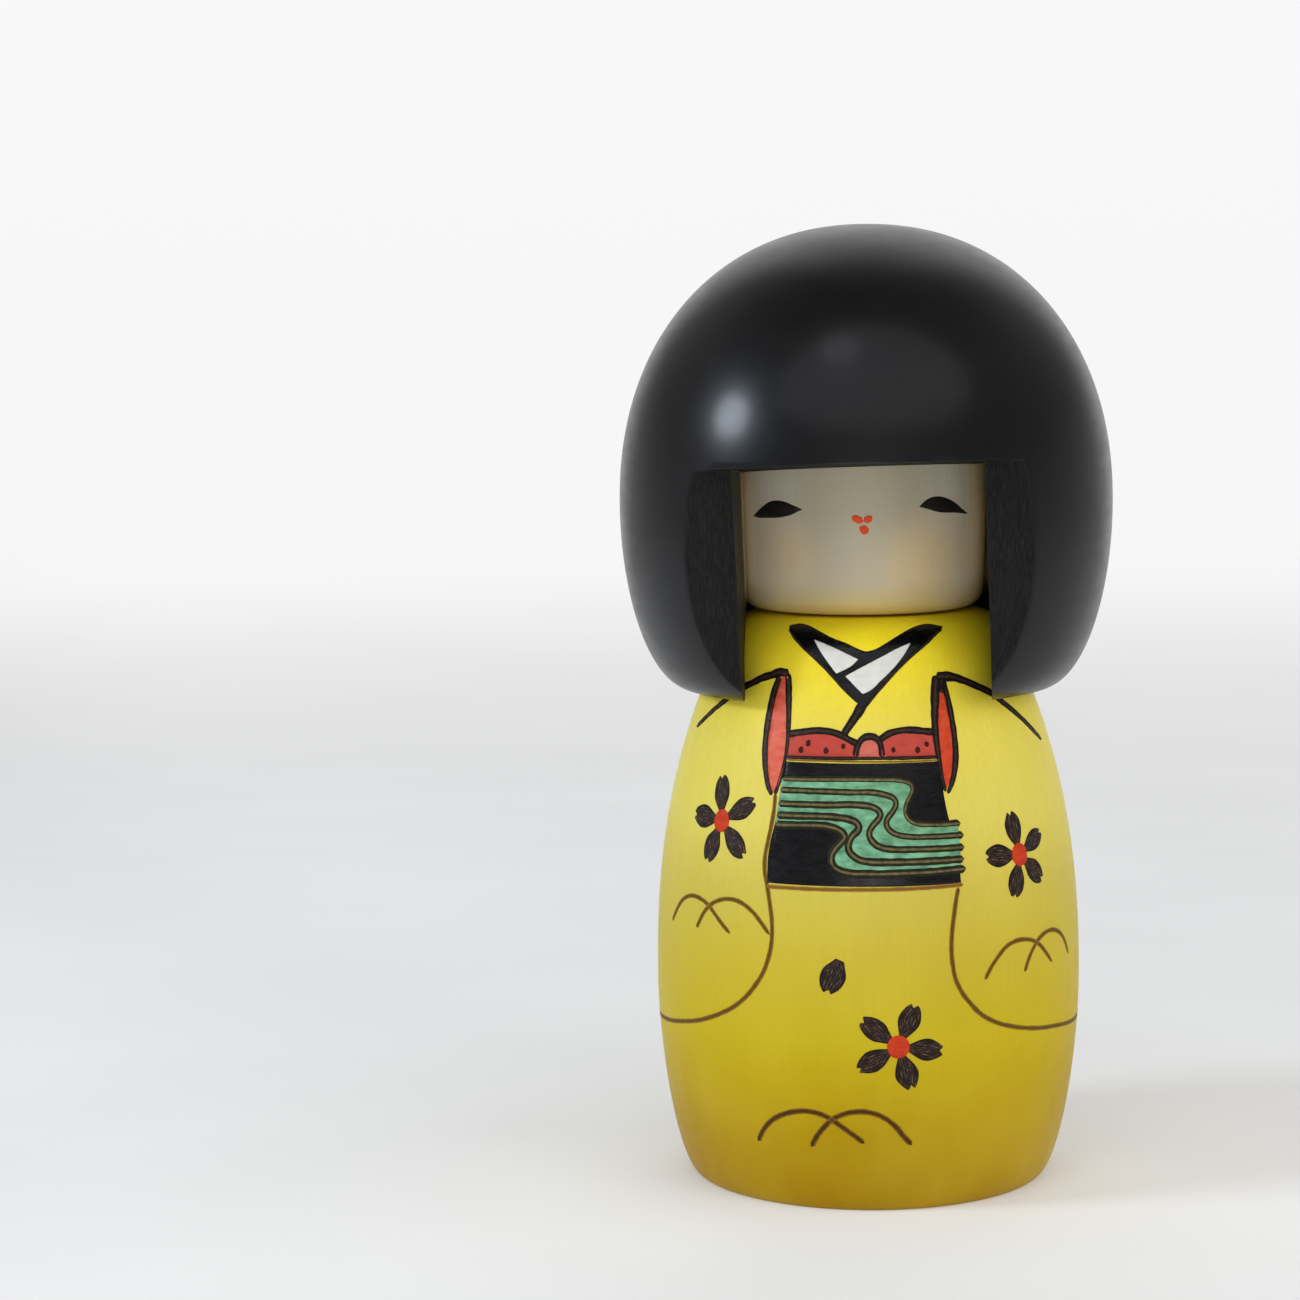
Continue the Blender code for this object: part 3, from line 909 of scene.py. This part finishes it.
def draw_collar(black, white, brown):
    top = [(-19.4, 88.8), (-17.3, 89.05), (-14.2, 88.9), (-10.1, 88.15), (-6.4, 87.25), (-3.2, 86.6),
           (-0.8, 85.9), (1.2, 85.45), (3.0, 85.7), (5.2, 86.4), (8.0, 87.35), (11.1, 88.2),
           (14.6, 88.8), (18.3, 88.95), (21.6, 88.5)]
    right = [(21.6, 88.5), (18.3, 87.7), (14.9, 86.4), (11.1, 84.8), (8.0, 83.0), (5.2, 80.9),
             (3.0, 79.2), (1.1, 77.5), (0.5, 76.9)]
    left = [(-0.4, 77.0), (-0.2, 77.3), (0.0, 77.6), (-1.7, 78.9), (-4.2, 80.6), (-7.0, 82.7),
            (-9.8, 84.4), (-12.9, 85.9), (-16.1, 87.3), (-19.4, 88.6)]
    outline = smooth(top)[:-1] + smooth(right) + smooth(left[:3])[:-1] + smooth(left[2:])
    kimono_film("collar", [outline], black, cell=COLLAR_CELL)
    under_left = closed([(-10.9, 87.0), (-8.6, 86.55), (-6.0, 85.95), (-3.0, 85.1), (-0.5, 84.3)],
                        [(-0.5, 84.3), (-1.6, 83.5), (-3.3, 82.75), (-5.0, 82.2)],
                        [(-5.0, 82.2), (-6.9, 83.8), (-9.0, 85.5), (-10.9, 87.0)])
    under_right = closed(
        [(11.3, 86.5), (8.0, 85.75), (5.2, 84.85), (2.4, 83.9), (-0.1, 83.0), (-3.1, 81.8)],
        [(-3.1, 81.8), (-1.5, 80.6), (0.5, 79.2)],
        [(0.5, 79.2), (1.8, 79.6), (4.6, 81.4), (7.1, 83.1), (9.3, 84.8), (11.3, 86.5)])
    kimono_film("under_collar_left", [under_left], white, WHITE_LIFT, COLLAR_CELL)
    kimono_film("under_collar_right", [under_right], white, WHITE_LIFT, COLLAR_CELL)
    edge = [[(-19.0, 88.5), (-16.1, 87.25), (-12.9, 85.85), (-9.8, 84.35), (-7.0, 82.65),
             (-4.2, 80.55), (-1.7, 78.85), (-0.2, 77.9)],
            [(21.0, 88.4), (18.3, 87.65), (14.9, 86.35), (11.1, 84.75), (8.0, 82.95), (5.2, 80.85),
             (3.0, 79.15), (1.1, 77.45), (0.2, 76.6)]]
    kimono_strokes("collar_scorch", edge, brown, 0.5)
    tail = [(1.2, 78.6, 1.3), (0.2, 77.3, 1.7), (-1.0, 75.8, 1.6), (-2.1, 74.5, 1.4), (-3.2, 73.1, 1.2)]
    kimono_strokes("collar_tail", [tail], brown, 1.55, (0.5, 0.5))


def draw_sleeve_openings(red_left, red_right, dark):
    left = closed([(-17.2, 81.7), (-18.1, 78.0), (-17.9, 74.0), (-17.5, 71.0), (-16.8, 67.8),
                   (-15.9, 65.3), (-15.2, 64.3)],
                  [(-15.2, 64.3), (-14.5, 65.5), (-13.9, 68.5), (-13.8, 72.0), (-14.5, 76.0),
                   (-15.6, 79.5), (-16.1, 81.8), (-17.2, 81.7)])
    right = closed([(16.3, 79.2), (15.5, 77.5), (14.9, 75.0), (14.6, 72.0), (14.6, 69.0), (14.7, 66.5),
                    (15.0, 65.0)],
                   [(15.0, 65.0), (16.0, 66.5), (17.0, 69.0), (17.6, 73.0), (17.5, 76.5), (17.1, 79.0),
                    (16.3, 79.2)])
    kimono_film("sleeve_lining_left", [left], red_left, UNDER_LIFT)
    kimono_film("sleeve_lining_right", [right], red_right, UNDER_LIFT)
    left = [[(-17.9, 81.6, 1.3), (-18.4, 79.5, 1.5), (-18.5, 77.0, 1.5), (-18.45, 74.0, 1.45),
             (-18.2, 71.5, 1.3), (-17.7, 69.0, 1.1), (-17.0, 66.8, 0.95), (-16.2, 65.1, 0.85),
             (-15.4, 64.0, 0.7)],
            [(-15.9, 82.0, 1.3), (-15.1, 79.5, 1.5), (-14.4, 77.0, 1.2), (-13.9, 74.5, 0.95),
             (-13.6, 71.5, 0.7), (-13.75, 68.5, 0.65), (-14.2, 66.2, 0.65), (-14.9, 64.0, 0.6)]]
    right = [[(17.2, 81.2, 2.2), (17.85, 79.0, 1.3), (18.0, 76.0, 1.25), (17.95, 73.0, 1.2),
              (17.6, 70.0, 1.2), (17.0, 67.8, 1.15), (16.1, 65.8, 0.9), (15.1, 64.3, 0.6)],
             [(16.9, 81.2, 1.3), (17.05, 80.0, 1.5), (16.7, 78.9, 0.9)],
             [(16.3, 81.6, 1.6), (15.5, 79.5, 2.0), (14.8, 77.0, 1.6), (14.3, 74.5, 1.4),
              (14.15, 72.0, 1.2), (14.2, 69.5, 0.9), (14.35, 67.0, 0.7), (14.8, 64.6, 0.6)]]
    kimono_strokes("sleeve_opening_left", left, dark, 1.2, (0.6, 0.5))
    kimono_strokes("sleeve_opening_right", right, dark, 1.3, (0.6, 0.5))
    left = [(-15.5, 82.0, 1.1), (-17.5, 82.05, 1.3), (-20.0, 81.5, 1.25), (-22.5, 80.9, 1.2),
            (-25.0, 80.0, 1.15), (-27.5, 79.1, 1.2), (-30.0, 77.9, 1.1), (-32.5, 76.6, 1.05),
            (-35.0, 75.3, 1.0), (-37.5, 73.9, 0.95), (-41.0, 72.1, 0.9)]
    right = [(16.1, 81.4, 1.3), (17.5, 81.4, 1.5), (20.0, 81.2, 1.35), (22.5, 80.6, 1.25),
             (25.0, 79.8, 1.2), (27.5, 78.95, 1.2), (29.5, 78.2, 1.15), (32.0, 76.7, 1.1),
             (35.0, 75.0, 1.05), (38.0, 73.2, 1.0), (41.0, 71.3, 0.95), (43.4, 69.9, 0.8)]
    kimono_strokes("shoulder_line_left", [left], dark, 1.2, (0.5, 1.6))
    kimono_strokes("shoulder_line_right", [right], dark, 1.2, (0.5, 1.6))


def draw_band(red, pink, dark, scorch):
    """The knotted band above the sash: two bows and a knot."""
    left = [(-12.0, 73.1), (-7.6, 73.5), (-4.5, 73.2), (-2.4, 72.4), (-0.9, 71.8)]
    left = [(-13.3, BAND_FOOT), (-13.2, 72.8), *smooth(left), (-0.7, BAND_FOOT)]
    right = [(4.0, 72.4), (6.0, 73.2), (9.0, 73.6), (11.5, 73.4), (13.6, 73.2)]
    right = [(3.9, BAND_FOOT), *smooth(right), (13.8, BAND_FOOT)]
    knot = [(-0.2, 71.2), (0.5, 72.2), (1.7, 72.6), (2.9, 72.3), (3.5, 71.3)]
    knot = [(-0.4, BAND_FOOT), *smooth(knot), (3.7, BAND_FOOT)]
    kimono_film("band_left", [left], red, UNDER_LIFT)
    kimono_film("band_right", [right], red, UNDER_LIFT)
    kimono_film("band_knot", [knot], pink, KNOT_LIFT)
    lines = [[(-13.7, 73.1), (-11.3, 73.45), (-7.6, 73.8), (-5.0, 73.6), (-3.2, 73.1), (-1.6, 72.4),
              (-0.2, 71.9)],
             [(3.3, 72.4), (5.3, 73.4), (7.9, 73.85), (10.3, 73.8), (12.4, 73.55), (14.3, 73.35)],
             [(-0.75, BAND_FOOT), (-0.65, 71.0), (-0.1, 72.2), (0.7, 72.85), (1.8, 73.05),
              (2.9, 72.8), (3.6, 72.1), (3.85, 71.0), (3.95, BAND_FOOT)]]
    kimono_strokes("band_outline", lines, dark, 1.05, (0.3, 0.3))
    hem = [(-13.6, 69.75), (-6.0, 69.8), (2.0, 69.85), (8.0, 69.8), (14.5, 69.75)]
    kimono_strokes("band_hem", [hem], dark, 0.5, (0.2, 0.2))
    dots = ((-10.8, 70.9, 0.5), (-9.5, 71.9, 0.45), (-6.1, 70.9, 0.48), (-3.0, 71.6, 0.4),
            (6.0, 71.05, 0.4), (10.4, 70.9, 0.48), (12.2, 71.7, 0.42))
    kimono_film("band_spots", [disc((s, z), r, 0.2) for s, z, r in dots], scorch, SPOT_LIFT)


def draw_obi(black, mint, pair, gold):
    """The black sash, with a stream that runs across it."""
    left = [(-13.7, 67.5), (-13.9, 65.0), (-14.0, 62.5), (-14.3, 60.0), (-14.8, 57.5), (-15.1, 55.0),
            (-15.05, 52.5), (-15.0, OBI_FOOT)]
    right = [(16.2, OBI_FOOT), (16.1, 53.0), (15.8, 56.0), (15.3, 59.0), (14.8, 61.0), (14.5, 63.0),
             (14.3, 66.0), (14.2, OBI_TOP)]
    kimono_film("obi", [[(-13.6, OBI_TOP), *smooth(left), *smooth(right)]], black)
    water = smooth(STREAM[0])[:-1] + list(reversed(smooth(STREAM[-1])[:-1]))
    water = [(min(point.x, STREAM_END), point.y) for point in water]
    kimono_film("obi_stream", [water], mint, OVER_LIFT)
    kimono_strokes("obi_stream_lines", STREAM, pair, 1.24, (0.3, 0.9), hollow=-0.9, waver=0.12)
    top = [(-13.4, 69.35), (-6.0, 69.4), (2.0, 69.35), (8.0, 69.3), (14.2, 69.3)]
    kimono_strokes("obi_top_edge", [top], gold, 0.28, (0.2, 0.2), hollow=-0.4)
    foot = [(-15.2, 50.45), (-8.0, 50.5), (0.0, 50.55), (8.0, 50.6), (16.6, 50.75)]
    kimono_strokes("obi_foot_edge", [foot], gold, 0.62, (0.3, 0.4), hollow=-0.4)


def draw_flowers(scorched, red):
    for name, (middle, parts) in FLOWERS.items():
        on_kimono(petals(f"flower_{name}_petals", middle, parts, on_body, scorched))
        kimono_film(f"flower_{name}_heart", [disc(middle, FLOWER_HEART_R)], red, OVER_LIFT)
    on_kimono(petals("loose_petal", *LOOSE_PETAL, on_body, scorched, start=0.0))


def draw_sleeves(brown):
    left = [(-14.75, 64.3), (-14.7, 62.0), (-14.95, 59.5), (-15.35, 57.0), (-15.65, 55.0),
            (-15.5, 52.5), (-14.95, 50.5), (-14.4, 48.0), (-13.95, 45.5), (-13.85, 43.0),
            (-14.05, 41.0), (-14.6, 39.0), (-15.5, 37.0), (-16.8, 35.1), (-18.5, 33.2), (-20.5, 31.6),
            (-23.3, 30.1), (-28.0, 28.3), (-33.3, 27.1), (-38.0, 26.3), (-43.0, 25.8), (-49.0, 25.5),
            (-55.0, 25.5)]
    right = [(15.7, 50.4), (15.2, 48.5), (14.7, 46.0), (14.3, 43.5), (14.15, 41.0), (14.3, 39.0),
             (14.8, 36.5), (15.8, 34.5), (17.3, 32.6), (19.0, 30.9), (21.5, 29.4), (25.3, 28.1),
             (30.0, 27.1), (36.7, 26.3), (44.0, 25.6), (50.0, 25.4), (56.0, 25.5)]
    kimono_strokes("sleeve_line_left", [left], brown, 0.74, (0.4, 5.0))
    kimono_strokes("sleeve_line_right", [right], brown, 0.74, (0.4, 5.0))


def draw_hills(brown, deep):
    """Pairs of crossing arcs, on both sleeves and above the hem."""
    left = [[(-37.3, 42.3), (-36.0, 44.0), (-34.5, 45.6), (-33.0, 46.6), (-31.0, 47.2), (-29.5, 47.2),
             (-28.0, 46.9), (-26.5, 46.3), (-25.0, 45.2), (-23.5, 44.0), (-21.6, 42.6)],
            [(-29.3, 42.5), (-28.5, 43.8), (-27.5, 45.2), (-26.3, 46.3), (-24.5, 47.3), (-22.5, 47.8),
             (-20.7, 47.8), (-19.0, 47.3), (-17.3, 46.3), (-15.7, 44.8), (-14.3, 43.2)]]
    right = [[(19.8, 36.0), (21.0, 37.8), (22.5, 39.4), (24.0, 40.6), (26.0, 41.2), (28.0, 41.2),
              (30.0, 40.7), (31.5, 39.9), (33.0, 38.6), (35.0, 36.6)],
             [(27.8, 36.2), (28.6, 37.8), (29.8, 39.4), (31.3, 40.7), (33.0, 41.4), (35.0, 41.6),
              (36.8, 41.2), (38.5, 40.3), (39.8, 39.0), (41.2, 36.8)]]
    hem = [[(-17.8, 10.5), (-16.5, 12.5), (-14.7, 14.3), (-12.5, 15.5), (-10.5, 16.1), (-8.5, 16.3),
            (-6.5, 16.0), (-5.0, 15.4), (-3.5, 14.4), (-1.5, 13.0), (0.5, 11.5)],
           [(-8.2, 10.6), (-7.2, 12.3), (-6.0, 13.8), (-4.4, 15.3), (-2.5, 16.2), (0.0, 16.6),
            (2.0, 16.3), (3.8, 15.5), (5.5, 14.1), (7.0, 12.3), (8.2, 11.1)]]
    kimono_strokes("hills_left", left, brown, 0.7, (0.4, 1.5))
    kimono_strokes("hills_right", right, brown, 0.7, (0.4, 1.5))
    kimono_strokes("hills_hem", hem, deep, 0.88, (0.4, 0.8))


def draw_face(black, red):
    left = closed([(-19.3, 105.15), (-18.0, 106.0), (-16.5, 106.9), (-15.0, 107.6), (-13.5, 107.85),
                   (-12.0, 107.75), (-10.5, 107.3), (-9.3, 106.9), (-8.6, 106.6)],
                  [(-8.6, 106.6), (-9.5, 106.25), (-10.5, 105.8), (-12.0, 105.4), (-13.5, 105.2),
                   (-15.5, 105.1), (-17.5, 105.0), (-19.3, 105.15)], step=EYE_STEP)
    right = closed([(9.8, 106.9), (10.5, 107.5), (11.5, 108.1), (12.8, 108.35), (14.0, 108.25),
                    (15.5, 107.8), (17.0, 107.1), (18.3, 106.3), (19.3, 105.75), (20.1, 105.35)],
                   [(20.1, 105.35), (19.3, 105.35), (18.3, 105.5), (16.5, 105.7), (14.5, 105.8),
                    (13.0, 106.0), (11.5, 106.45), (9.8, 106.9)], step=EYE_STEP)
    mouth = [[(-0.75, 105.65, 0.8), (0.2, 105.15, 1.15), (1.0, 104.85, 1.0)],
             [(2.35, 105.65, 0.75), (1.7, 105.2, 1.1), (1.1, 104.85, 1.0)],
             [(0.35, 103.95, 0.55), (1.15, 103.55, 1.35), (1.1, 102.85, 0.95)]]
    for piece in (film("eye_left", [left], on_face, black, EYE_LIFT),
                  film("eye_right", [right], on_face, black, EYE_LIFT),
                  strokes("mouth", mouth, on_face, red, 0.8, (0.35, 0.35), hollow=-0.5)):
        place(piece, "head")


# ---------------------------------------------------------------- the turned pieces

def build_wood():
    body = turned("kimono_body", body_profile(), [stained_wood()])
    place(body, "torso")
    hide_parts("body")

    lacquer = black_lacquer()
    sawn = sawn_wood()
    bore = bore_wood()
    hair = turned("hair_shell", hair_profile(), [lacquer, bore])
    line_bore(hair.data)
    saw(hair, notch_cutter(sawn, bore), sawn)
    place(hair, "head")
    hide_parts("hair_cap")

    face = turned("face_turned", face_profile(), [painted_face()])
    shift_outside(face.data, FACE_OFFSET, FACE_HOLE_LIMIT)
    place(face, "head")
    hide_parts("face_block")

    wood = bare_wood()
    for name in ("neck_dowel", "crown_dowel"):
        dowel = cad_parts[name]
        dowel.data.materials.clear()
        dowel.data.materials.append(wood)


def build_drawing():
    black = enamel("black_enamel", srgb(5, 5, 7), srgb(11, 10, 14), 0.17, 0.24, 0.05)
    white = enamel("white_paint", srgb(208, 208, 200), srgb(222, 222, 214), 0.4)
    red = enamel("red_paint", srgb(180, 42, 10), srgb(202, 64, 28), 0.36)
    lining = enamel("lining_paint", srgb(196, 72, 46), srgb(220, 108, 84), 0.36)
    ember = enamel("ember_paint", srgb(190, 54, 24), srgb(208, 76, 42), 0.36)
    rose = enamel("rose_paint", srgb(192, 72, 58), srgb(174, 64, 54), 0.32)
    pink = enamel("pink_paint", srgb(206, 108, 92), srgb(196, 96, 82), 0.32)
    mint = enamel("mint_paint", srgb(80, 124, 92), srgb(124, 184, 143), 0.32)
    dark = burned_line("burned_outline", srgb(64, 46, 37), srgb(22, 15, 12), spread=(0.0, 0.45))
    brown = burned_line("burned_brown", srgb(92, 64, 16), srgb(146, 112, 22))
    deep = burned_line("burned_deep", srgb(70, 42, 8), srgb(138, 100, 14))
    gold = burned_line("burned_gold", srgb(122, 84, 30), srgb(166, 126, 38), 0.4)
    spot = burned_line("burned_spot", srgb(66, 20, 12), srgb(90, 30, 20))
    draw_collar(black, white, dark)
    draw_sleeve_openings(lining, ember, dark)
    draw_band(rose, pink, dark, spot)
    draw_obi(black, mint, double_line(), gold)
    draw_flowers(scorched_petal(), red)
    draw_sleeves(brown)
    draw_hills(brown, deep)
    eye = enamel("eye_black", srgb(34, 33, 30), srgb(46, 45, 41), 0.4)
    lip = enamel("lip_red", srgb(232, 84, 40), srgb(226, 70, 32), 0.4)
    draw_face(eye, lip)


# ---------------------------------------------------------------- stage

def add_camera():
    data = bpy.data.cameras.new("camera")
    data.lens = LENS
    data.sensor_width = 36.0
    camera = link(bpy.data.objects.new("camera", data))
    spin = Matrix.Rotation(math.radians(CAMERA_AZIMUTH), 4, "Z")
    where = spin @ (Vector((0.0, -CAMERA_DISTANCE, CAMERA_HEIGHT)) * MM)
    aim = (Matrix.Rotation(math.radians(CAMERA_AZIMUTH + CAMERA_PAN), 4, "Z")
           @ Matrix.Rotation(math.radians(90.0 - CAMERA_TILT), 4, "X")
           @ Matrix.Rotation(math.radians(CAMERA_ROLL), 4, "Z"))
    camera.matrix_world = Matrix.Translation(where) @ aim
    bpy.context.scene.camera = camera


def add_softbox(name, azimuth, elevation, distance, size, radiance, colour):
    """A round or oval lamp that looks at the doll."""
    data = bpy.data.lights.new(name, "AREA")
    data.shape = "ELLIPSE"
    data.size, data.size_y = size
    data.energy = radiance * math.pi * math.pi / 4.0 * size[0] * size[1]
    data.color = colour
    lamp = link(bpy.data.objects.new(name, data))
    a, e = math.radians(azimuth), math.radians(elevation)
    away = Vector((math.sin(a) * math.cos(e), -math.cos(a) * math.cos(e), math.sin(e)))
    lamp.location = Vector((0.0, 0.0, 0.5 * HEIGHT * MM)) + away * distance
    lamp.rotation_euler = away.to_track_quat("Z", "Y").to_euler()
    lamp.visible_camera = False
    lamp.visible_glossy = name != UNMIRRORED


def behind_share(tree, way):
    """1 for a direction behind the doll, 0 for one to the side or in front."""
    level = vector_maths(tree, "MULTIPLY", "Vector", way, (1.0, 1.0, 0.0))
    heading = vector_maths(tree, "NORMALIZE", "Vector", level)
    return map_range(tree, along_axis(tree, heading, "Y"), 0.7, 0.95)


def add_world():
    """A pale room, brightest behind the doll."""
    world = bpy.data.worlds.new("studio")
    world.use_nodes = True
    bpy.context.scene.world = world
    tree = world.node_tree
    way = node(tree, "TexCoord").outputs["Generated"]
    height = along_axis(tree, way, "Z")
    light = mix(tree, behind_share(tree, way), ramp(tree, height, SIDE_LIGHT), ramp(tree, height, BACK_LIGHT))
    tree.links.new(light, tree.nodes["Background"].inputs["Color"])


def add_floor():
    """A pale floor that runs out into the pale horizon."""
    edit = bmesh.new()
    bmesh.ops.create_circle(edit, cap_ends=True, segments=96, radius=FLOOR_R)
    mesh = bpy.data.meshes.new("floor")
    edit.to_mesh(mesh)
    edit.free()
    mat, tree, shader = new_material("pale_floor", 0.9, specular=0.0)
    spot = node(tree, "TexCoord").outputs["Object"]
    far = map_range(tree, vector_maths(tree, "LENGTH", "Value", spot), 0.15, 1.2)
    cloud = noise_at(tree, millimetres(tree), 0.01, 2.0)
    near = ramp(tree, cloud, [(0.3, srgb(227, 227, 227)), (0.7, srgb(233, 233, 233))])
    tree.links.new(mix(tree, far, near, srgb(0, 0, 0)), shader.inputs["Base Color"])
    horizon = mix(tree, behind_share(tree, spot), SIDE_HORIZON, BACK_HORIZON)
    shader.inputs["Emission Color"].default_value = (1.0, 1.0, 1.0, 1.0)
    tree.links.new(mix(tree, far, FLOOR_GLOW, horizon), shader.inputs["Emission Strength"])
    mesh.materials.append(mat)
    link(bpy.data.objects.new("floor", mesh))


bpy.context.scene.view_settings.view_transform = "Standard"
add_camera()
for lamp_name, lamp_settings in LAMPS.items():
    add_softbox(lamp_name, *lamp_settings)
add_world()
add_floor()
build_wood()
build_drawing()
